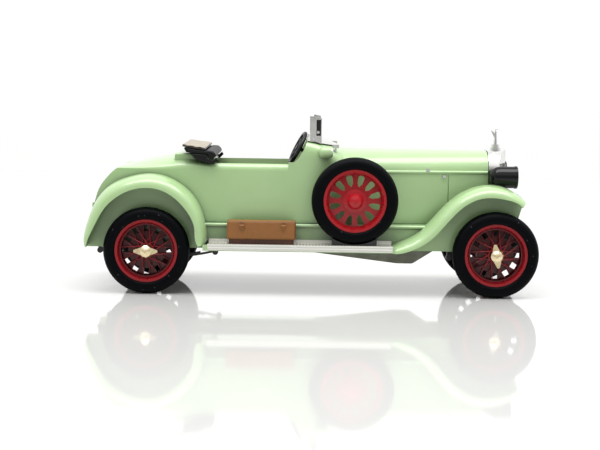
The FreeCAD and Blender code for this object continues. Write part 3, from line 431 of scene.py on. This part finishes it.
# ---------------------------------------------------------------- dashboard, steering wheel and levers
# Black plastic mouldings glued in the cockpit.
# Moulded black plastic: satin, with a faint grain that blurs its highlights.
black, shader, spot = start_material("moulded_black_plastic", IOR=1.5, Specular_IOR_Level=0.3)
patch = add_node(black, "ShaderNodeTexNoise", {"Scale": per_metre(2.0)}, {"Vector": spot}).outputs["Fac"]
grain = add_node(black, "ShaderNodeTexNoise", {"Scale": per_metre(0.4)}, {"Vector": spot}).outputs["Fac"]
tone = add_node(black, "ShaderNodeMix", {"A": linear("#070909"), "B": linear("#17191A")}, {"Factor": patch},
                data_type="RGBA")
dull = add_node(black, "ShaderNodeMapRange", {"To Min": 0.2, "To Max": 0.45}, {"Value": patch})
relief = add_node(black, "ShaderNodeBump", {"Distance": 0.015 * MM}, {"Height": grain})
connect(black, shader, Base_Color=tone.outputs["Result"], Roughness=dull.outputs["Result"],
        Normal=relief.outputs["Normal"])
paint(black, "dashboard", "steering_wheel", "steering_column", "hand_levers")

# ---------------------------------------------------------------- windscreen, scuttle plate and bright trim
# The screen, its posts and the plate over the scuttle are plastic with vacuum plating. So are the radiator
# shell, the lamp rims and the bonnet catches.
# Vacuum plating: a bright mirror that is slightly wavy, with duller smears where it was handled.
plating, shader, spot = start_material("vacuum_plating", Metallic=1.0)
smear = add_node(plating, "ShaderNodeTexNoise", {"Scale": per_metre(3.0)}, {"Vector": spot}).outputs["Fac"]
wave = add_node(plating, "ShaderNodeTexNoise", {"Scale": per_metre(1.1)}, {"Vector": spot}).outputs["Fac"]
tone = add_node(plating, "ShaderNodeMix", {"A": linear("#D2D2CE"), "B": linear("#F2F2EF")}, {"Factor": smear},
                data_type="RGBA")
dull = add_node(plating, "ShaderNodeMapRange", {"To Min": 0.06, "To Max": 0.24}, {"Value": smear})
relief = add_node(plating, "ShaderNodeBump", {"Distance": 0.008 * MM}, {"Height": wave})
connect(plating, shader, Base_Color=tone.outputs["Result"], Roughness=dull.outputs["Result"],
        Normal=relief.outputs["Normal"])
paint(plating, "windscreen_frame", "scuttle_plate", "scuttle_wing_nuts", "radiator_shell",
      "radiator_cap_figure", "side_lamp_fronts", "bonnet_catches")

# Posts: the same plating, with the sunk panel of each post coloured near black and without the metal's shine.
# The panel is found by its depth below the post's outer face, from which a small knob stands proud.
posts = plating.copy()
posts.name = "vacuum_plating_black_filled"
shader = posts.node_tree.nodes["Principled BSDF"]
KNOB_PROUD, PANEL_EDGE, PANEL_FLOOR = 0.3 * MM, 0.12 * MM, 0.4 * MM
post_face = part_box("windscreen_posts")[1].y - KNOB_PROUD
spot = add_node(posts, "ShaderNodeTexCoord").outputs["Object"]
across = add_node(posts, "ShaderNodeSeparateXYZ", None, {"Vector": spot}).outputs["Y"]
away = add_node(posts, "ShaderNodeMath", None, {0: across}, operation="ABSOLUTE").outputs["Value"]
sunk = add_node(posts, "ShaderNodeMath", {1: post_face - PANEL_EDGE}, {0: away},
                operation="LESS_THAN").outputs["Value"]
shallow = add_node(posts, "ShaderNodeMath", {1: post_face - PANEL_FLOOR}, {0: away},
                   operation="GREATER_THAN").outputs["Value"]
panel = add_node(posts, "ShaderNodeMath", None, {0: sunk, 1: shallow}, operation="MULTIPLY").outputs["Value"]
plated = shader.inputs["Base Color"].links[0].from_socket
tone = add_node(posts, "ShaderNodeMix", {"B": linear("#0C0D0D")}, {"Factor": panel, "A": plated},
                data_type="RGBA")
bare = add_node(posts, "ShaderNodeMath", {0: 1.0}, {1: panel}, operation="SUBTRACT").outputs["Value"]
connect(posts, shader, Base_Color=tone.outputs["Result"], Metallic=bare)
paint(posts, "windscreen_posts")

# Clear polystyrene: a thin window with a faint haze.
clear, shader, spot = start_material("clear_polystyrene", IOR=1.49, Transmission_Weight=1.0,
                                     Base_Color=linear("#F4F8F7"))
haze = add_node(clear, "ShaderNodeTexNoise", {"Scale": per_metre(4.0)}, {"Vector": spot}).outputs["Fac"]
dull = add_node(clear, "ShaderNodeMapRange", {"To Min": 0.0, "To Max": 0.07}, {"Value": haze})
connect(clear, shader, Roughness=dull.outputs["Result"])
paint(clear, "windscreen_glass")

# ---------------------------------------------------------------- radiator core
# A pointed core behind the shell, with a fine honeycomb moulded in its face and painted dark.
# Honeycomb core: 0.7 mm cells with bright walls and dark holes, coarser than a real core so that they show.
# The holes are dark with the core's paint and with painted shade for their depth.
core, shader, spot = start_material("honeycomb_core", Metallic=0.6)
cells = add_node(core, "ShaderNodeTexVoronoi", {"Scale": per_metre(0.7), "Randomness": 0.0},
                 {"Vector": spot})
# Painted shade: each cell darkens towards its centre, where the hole is.
wall = add_node(core, "ShaderNodeMapRange", {"From Min": 0.3, "From Max": 0.5},
                {"Value": cells.outputs["Distance"]})
grain = add_node(core, "ShaderNodeTexNoise", {"Scale": per_metre(0.8)}, {"Vector": spot}).outputs["Fac"]
tone = add_node(core, "ShaderNodeMix", {"A": linear("#101210"), "B": linear("#8E8E88")},
                {"Factor": wall.outputs["Result"]}, data_type="RGBA")
dull = add_node(core, "ShaderNodeMapRange", {"To Min": 0.3, "To Max": 0.5}, {"Value": grain})
relief = add_node(core, "ShaderNodeBump", {"Distance": 0.15 * MM}, {"Height": cells.outputs["Distance"]})
connect(core, shader, Base_Color=tone.outputs["Result"], Roughness=dull.outputs["Result"],
        Normal=relief.outputs["Normal"])
paint(core, "radiator_core")

# ---------------------------------------------------------------- headlamps
# Drum lamps in glossy black with a black rim, a ribbed lens and a plated bowl behind it.
# Black stove enamel: deep mirror gloss with a faint ripple.
stove, shader, spot = start_material("black_stove_enamel", Coat_Weight=0.6, Coat_Roughness=0.03, IOR=1.5,
                                     Specular_IOR_Level=0.0)
ripple = add_node(stove, "ShaderNodeTexNoise", {"Scale": per_metre(1.3)}, {"Vector": spot}).outputs["Fac"]
tone = add_node(stove, "ShaderNodeMix", {"A": linear("#020303"), "B": linear("#0A0B0D")}, {"Factor": ripple},
                data_type="RGBA")
dull = add_node(stove, "ShaderNodeMapRange", {"To Min": 0.14, "To Max": 0.26}, {"Value": ripple})
relief = add_node(stove, "ShaderNodeBump", {"Distance": 0.012 * MM}, {"Height": ripple})
connect(stove, shader, Base_Color=tone.outputs["Result"], Roughness=dull.outputs["Result"],
        Normal=relief.outputs["Normal"])
paint(stove, "headlamp_buckets", "headlamp_rims")

# Ribbed lens: clear plastic with upright flutes 0.8 mm apart.
lens, shader, spot = start_material("ribbed_lamp_lens", IOR=1.49, Transmission_Weight=0.9, Roughness=0.06,
                                    Base_Color=linear("#F2F5F3"))
flutes = add_node(lens, "ShaderNodeTexWave", {"Scale": per_metre(0.8) * math.pi / 10}, {"Vector": spot},
                  bands_direction="Y")
relief = add_node(lens, "ShaderNodeBump", {"Distance": 0.08 * MM}, {"Height": flutes.outputs["Fac"]})
connect(lens, shader, Normal=relief.outputs["Normal"])
paint(lens, "headlamp_lenses")
BOWL_DEPTH, BOWL_BEHIND, BOWL_INSIDE = 1.3 * MM, 0.1 * MM, 0.15 * MM
BOWL_RINGS, BOWL_STEPS = 12, 48


def lamp_bowl(side):
    """Dished reflector behind one lens."""
    low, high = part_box("headlamp_lenses")
    radius = (high.z - low.z) / 2 - BOWL_INSIDE
    rim_x, y, z = low.x - BOWL_BEHIND, side * (high.y - radius - BOWL_INSIDE), (low.z + high.z) / 2

    def build(work):
        rings = []
        for ring in range(1, BOWL_RINGS + 1):
            share = ring / BOWL_RINGS
            angles = (2 * math.pi * step / BOWL_STEPS for step in range(BOWL_STEPS))
            rings.append([work.verts.new((rim_x - BOWL_DEPTH * (1 - share ** 2),
                                          y + radius * share * math.cos(angle),
                                          z + radius * share * math.sin(angle))) for angle in angles])
        for inner, outer in zip(rings, rings[1:]):
            for step in range(BOWL_STEPS):
                after = (step + 1) % BOWL_STEPS
                work.faces.new((inner[step], inner[after], outer[after], outer[step]))
        work.faces.new(rings[0])
    return build


for side, label in ((1, "left"), (-1, "right")):
    bowl = mesh_piece("headlamp_bowl_" + label, lamp_bowl(side), plating, "car")

# ---------------------------------------------------------------- running-board mats
# Plated tread mats lie on the boards and fold over their outer edges, with a turned-up inner edge.
# Ribbed tread plate: pale metal with lengthwise ribs 0.5 mm apart and cross lugs, dusty between them.
tread, shader, spot = start_material("ribbed_tread_plate", Metallic=0.8)
upper = add_node(tread, "ShaderNodeSeparateXYZ", None,
                 {"Vector": add_node(tread, "ShaderNodeNewGeometry").outputs["Normal"]}).outputs["Z"]
lugs = add_node(tread, "ShaderNodeTexWave", {"Scale": per_metre(0.8) * math.pi / 10, "Distortion": 0.5},
                {"Vector": spot}, bands_direction="X").outputs["Fac"]
on_top = add_node(tread, "ShaderNodeMath", None, {0: lugs, 1: upper}, operation="MULTIPLY",
                  use_clamp=True).outputs["Value"]
ribs = add_node(tread, "ShaderNodeTexWave", {"Scale": per_metre(0.5) * math.pi / 10, "Distortion": 0.3},
                {"Vector": spot}, bands_direction="Y").outputs["Fac"]
beads = add_node(tread, "ShaderNodeTexWave", {"Scale": per_metre(0.7) * math.pi / 10}, {"Vector": spot},
                 bands_direction="Z").outputs["Fac"]
smear = add_node(tread, "ShaderNodeTexNoise", {"Scale": per_metre(0.9)}, {"Vector": spot}).outputs["Fac"]
tone = add_node(tread, "ShaderNodeMix", {"A": linear("#E4E4DC"), "B": linear("#A9A69A")}, {"Factor": on_top},
                data_type="RGBA")
dull = add_node(tread, "ShaderNodeMapRange", {"To Min": 0.2, "To Max": 0.5}, {"Value": smear})
rolled = add_node(tread, "ShaderNodeBump", {"Distance": 0.05 * MM}, {"Height": beads})
ridges = add_node(tread, "ShaderNodeBump", {"Distance": 0.06 * MM},
                  {"Height": ribs, "Normal": rolled.outputs["Normal"]})
relief = add_node(tread, "ShaderNodeBump", {"Distance": 0.05 * MM},
                  {"Height": on_top, "Normal": ridges.outputs["Normal"]})
connect(tread, shader, Base_Color=tone.outputs["Result"], Roughness=dull.outputs["Result"],
        Normal=relief.outputs["Normal"])
paint(tread, "running_board_mats")

# ---------------------------------------------------------------- luggage box
# A trunk moulded in plastic stands on the right running board, with two clasps. Its narrower base is coloured
# with the darker brown of the seat.
# Painted tan hide: mottled brown with a shallow grain, rubbed paler along its edges.
hide, shader, spot = start_material("painted_tan_hide", IOR=1.46)
blotch = add_node(hide, "ShaderNodeTexNoise", {"Scale": per_metre(2.2), "Detail": 5.0},
                  {"Vector": spot}).outputs["Fac"]
fine = add_node(hide, "ShaderNodeTexNoise", {"Scale": per_metre(0.5), "Detail": 5.0},
                {"Vector": spot}).outputs["Fac"]
edge = add_node(hide, "ShaderNodeNewGeometry").outputs["Pointiness"]
rub = add_node(hide, "ShaderNodeMapRange", {"From Min": 0.51, "From Max": 0.58, "To Max": 0.55},
               {"Value": edge})
base = add_node(hide, "ShaderNodeMix", {"A": linear("#46290B"), "B": linear("#7E4C1B")}, {"Factor": blotch},
                data_type="RGBA")
tone = add_node(hide, "ShaderNodeMix", {"B": linear("#9A6632")},
                {"Factor": rub.outputs["Result"], "A": base.outputs["Result"]}, data_type="RGBA")
dull = add_node(hide, "ShaderNodeMapRange", {"To Min": 0.4, "To Max": 0.65}, {"Value": fine})
relief = add_node(hide, "ShaderNodeBump", {"Distance": 0.06 * MM}, {"Height": fine})
connect(hide, shader, Base_Color=tone.outputs["Result"], Roughness=dull.outputs["Result"],
        Normal=relief.outputs["Normal"])
paint(hide, "luggage_box", "luggage_clasps")
paint(leather, "luggage_box_base")


# ---------------------------------------------------------------- folded hood
# The folded top is a stack of cloth on a black bag behind the cockpit, and the bag's ends hang beside the
# body. On the model they are plastic mouldings with the folds and creases of cloth.
SMOOTH_PASSES = 3


def slumped_copy(node, material, name, voxel_mm, sink):
    """A finer mesh of the node's shape, pressed in by the sink function, riding on the car."""
    mesh = nodes[node].data.copy()
    piece = bpy.data.objects.new(name, mesh)
    bpy.context.scene.collection.objects.link(piece)
    remesh = piece.modifiers.new("voxels", "REMESH")
    remesh.mode = "VOXEL"
    remesh.voxel_size = voxel_mm * MM
    smooth = piece.modifiers.new("ease", "SMOOTH")
    smooth.iterations = SMOOTH_PASSES
    seen = piece.evaluated_get(bpy.context.evaluated_depsgraph_get())
    fine_mesh = bpy.data.meshes.new_from_object(seen)
    piece.modifiers.clear()
    piece.data = fine_mesh
    for vertex in fine_mesh.vertices:
        vertex.co -= vertex.normal * (sink(vertex.co, vertex.normal) * MM)
    for face in fine_mesh.polygons:
        face.use_smooth = True
    fine_mesh.materials.clear()
    fine_mesh.materials.append(material)
    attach(piece, "car")
    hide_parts(node)


# Duck cloth: taupe plain weave with 0.35 mm threads, coarser than real cloth so that it shows. Light and
# shade
# are painted by which way a face turns: upward faces get light taupe as painted light from above, and the
# folded edges and undersides are painted dark brown as painted shade.
duck, shader, spot = start_material("taupe_duck_cloth", IOR=1.45, Sheen_Weight=0.3, Roughness=0.85)
warp = add_node(duck, "ShaderNodeTexWave", {"Scale": per_metre(0.35) * math.pi / 10}, {"Vector": spot},
                bands_direction="X").outputs["Fac"]
weft = add_node(duck, "ShaderNodeTexWave", {"Scale": per_metre(0.35) * math.pi / 10}, {"Vector": spot},
                bands_direction="Y").outputs["Fac"]
weave = add_node(duck, "ShaderNodeMath", None, {0: warp, 1: weft}, operation="MULTIPLY").outputs["Value"]
patch = add_node(duck, "ShaderNodeTexNoise", {"Scale": per_metre(2.0), "Detail": 5.0},
                 {"Vector": spot}).outputs["Fac"]
upper = add_node(duck, "ShaderNodeSeparateXYZ", None,
                 {"Vector": add_node(duck, "ShaderNodeNewGeometry").outputs["Normal"]}).outputs["Z"]
# Painted light and shade: the colour runs from dark brown on faces turned sideways or down to taupe on faces
# turned up.
painted_top_light = add_node(duck, "ShaderNodeMapRange", {"From Min": 0.1, "From Max": 0.9}, {"Value": upper})
upper_taupe = add_node(duck, "ShaderNodeMix", {"A": linear("#857D6D"), "B": linear("#AEA593")}, {"Factor": patch},
                 data_type="RGBA")
tone = add_node(duck, "ShaderNodeMix", {"A": linear("#2E2A23")},
                {"Factor": painted_top_light.outputs["Result"], "B": upper_taupe.outputs["Result"]}, data_type="RGBA")
relief = add_node(duck, "ShaderNodeBump", {"Distance": 0.05 * MM}, {"Height": weave})
connect(duck, shader, Base_Color=tone.outputs["Result"], Normal=relief.outputs["Normal"])

hood_low, hood_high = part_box("hood_fabric")
HOOD_FALL = 0.9 * MM
FOLDS, FOLD_DEPTH, FOLD_WIDTH = (0.36, 0.68), 0.30, 0.07
SLUMP_MM, SLUMP_DEPTH, HOOD_INSET = 2.6, 0.16, 0.04
CREASE_MM, CREASE_DEPTH, BAG_INSET = 1.1, 0.16, 0.05


def cloth_folds(point, normal):
    """Grooves between the folded layers round the stack's edge, and a soft slump on its top."""
    along = (hood_high.x - point.x) / (hood_high.x - hood_low.x)
    foot = hood_low.z + HOOD_FALL * along
    top = hood_high.z - HOOD_FALL * (1 - along)
    height = (point.z - foot) / (top - foot)
    grooves = sum(math.exp(-((height - fold) / FOLD_WIDTH) ** 2) for fold in FOLDS)
    slump = 0.5 + 0.5 * noise.noise(point / (SLUMP_MM * MM))
    return (HOOD_INSET + FOLD_DEPTH * grooves * (1 - abs(normal.z))
            + SLUMP_DEPTH * slump * max(normal.z, 0.0))


def bag_creases(point, normal):
    """Soft creases in stretched cloth."""
    crease = 0.5 + 0.5 * noise.noise(point / (CREASE_MM * MM))
    return BAG_INSET + CREASE_DEPTH * crease


HOOD_VOXEL_MM, ENDS_VOXEL_MM = 0.3, 0.25
slumped_copy("hood_fabric", duck, "hood_fabric_folded", HOOD_VOXEL_MM, cloth_folds)

# Black bag cloth: rubberised cloth with soft creases and a dull shine.
bag_cloth, shader, spot = start_material("black_rubberised_cloth", IOR=1.5, Specular_IOR_Level=0.25)
patch = add_node(bag_cloth, "ShaderNodeTexNoise", {"Scale": per_metre(1.4), "Detail": 4.0},
                 {"Vector": spot}).outputs["Fac"]
tone = add_node(bag_cloth, "ShaderNodeMix", {"A": linear("#030404"), "B": linear("#0B0E0D")},
                {"Factor": patch}, data_type="RGBA")
dull = add_node(bag_cloth, "ShaderNodeMapRange", {"To Min": 0.3, "To Max": 0.6}, {"Value": patch})
relief = add_node(bag_cloth, "ShaderNodeBump", {"Distance": 0.08 * MM}, {"Height": patch})
connect(bag_cloth, shader, Base_Color=tone.outputs["Result"], Roughness=dull.outputs["Result"],
        Normal=relief.outputs["Normal"])
slumped_copy("hood_bag", bag_cloth, "hood_bag_creased", HOOD_VOXEL_MM, bag_creases)
slumped_copy("hood_bag_ends", bag_cloth, "hood_bag_ends_creased", ENDS_VOXEL_MM, bag_creases)

# ---------------------------------------------------------------- tail lamp
# One small lamp on the back of the body.
# Translucent red plastic: clear red, cloudy and slightly uneven.
tail_red, shader, spot = start_material("translucent_red_plastic", IOR=1.49, Transmission_Weight=0.4,
                                        Roughness=0.15)
patch = add_node(tail_red, "ShaderNodeTexNoise", {"Scale": per_metre(0.6)}, {"Vector": spot}).outputs["Fac"]
tone = add_node(tail_red, "ShaderNodeMix", {"A": linear("#6A070C"), "B": linear("#B2161E")},
                {"Factor": patch}, data_type="RGBA")
relief = add_node(tail_red, "ShaderNodeBump", {"Distance": 0.02 * MM}, {"Height": patch})
connect(tail_red, shader, Base_Color=tone.outputs["Result"], Normal=relief.outputs["Normal"])
paint(tail_red, "tail_lamp")
